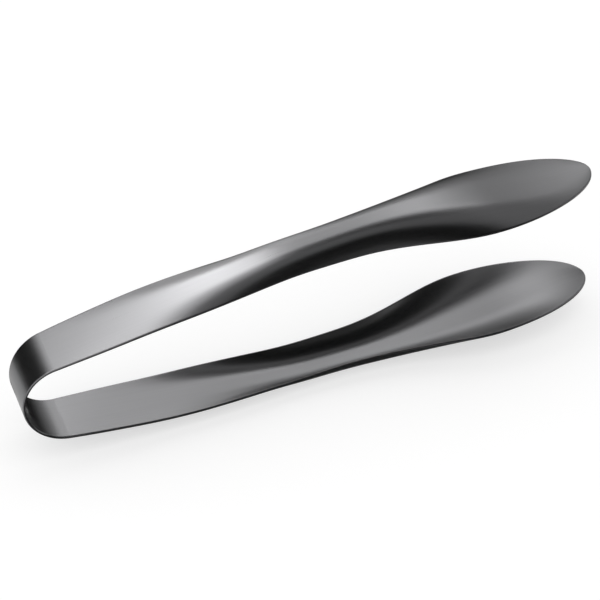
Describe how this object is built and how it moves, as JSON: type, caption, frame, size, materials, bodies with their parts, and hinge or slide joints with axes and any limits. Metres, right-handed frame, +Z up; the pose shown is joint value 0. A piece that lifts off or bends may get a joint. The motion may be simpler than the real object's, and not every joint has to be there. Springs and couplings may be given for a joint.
{
  "type": "serving tongs",
  "caption": "One-piece serving tongs: a springy strip of satin steel, bent into a round bow, with a leaf-shaped shallow bowl at each tip.",
  "frame": {"origin": "on the table, under the middle of the tongs' length and width, with the tongs standing on the flat under the neck of the lower arm", "axes": "+X from the bow to the tips, +Y across the strip, +Z up from the table; the tongs' middle plane leans back 3.3 degrees, tips up"},
  "size_m": [0.2311, 0.0424, 0.0625],
  "materials": {
    "satin_steel": "dark neutral satin, brushed very finely along the strip"
  },
  "bodies": {
    "lower_half": {"lower_arm": "satin_steel", "spring_bow": "satin_steel"},
    "upper_half": {"upper_arm": "satin_steel"}
  },
  "joints": [
    {"name": "squeeze", "type": "hinge", "parent": "lower_half", "child": "upper_half", "pos_m": [-0.09955, 0, 0.02388], "axis": [0, 1, 0], "range_deg": [0, 12.8], "stiffness_Nm_per_rad": 3.5, "springref_deg": -0.89, "deforming": ["spring_bow"]}
  ]
}
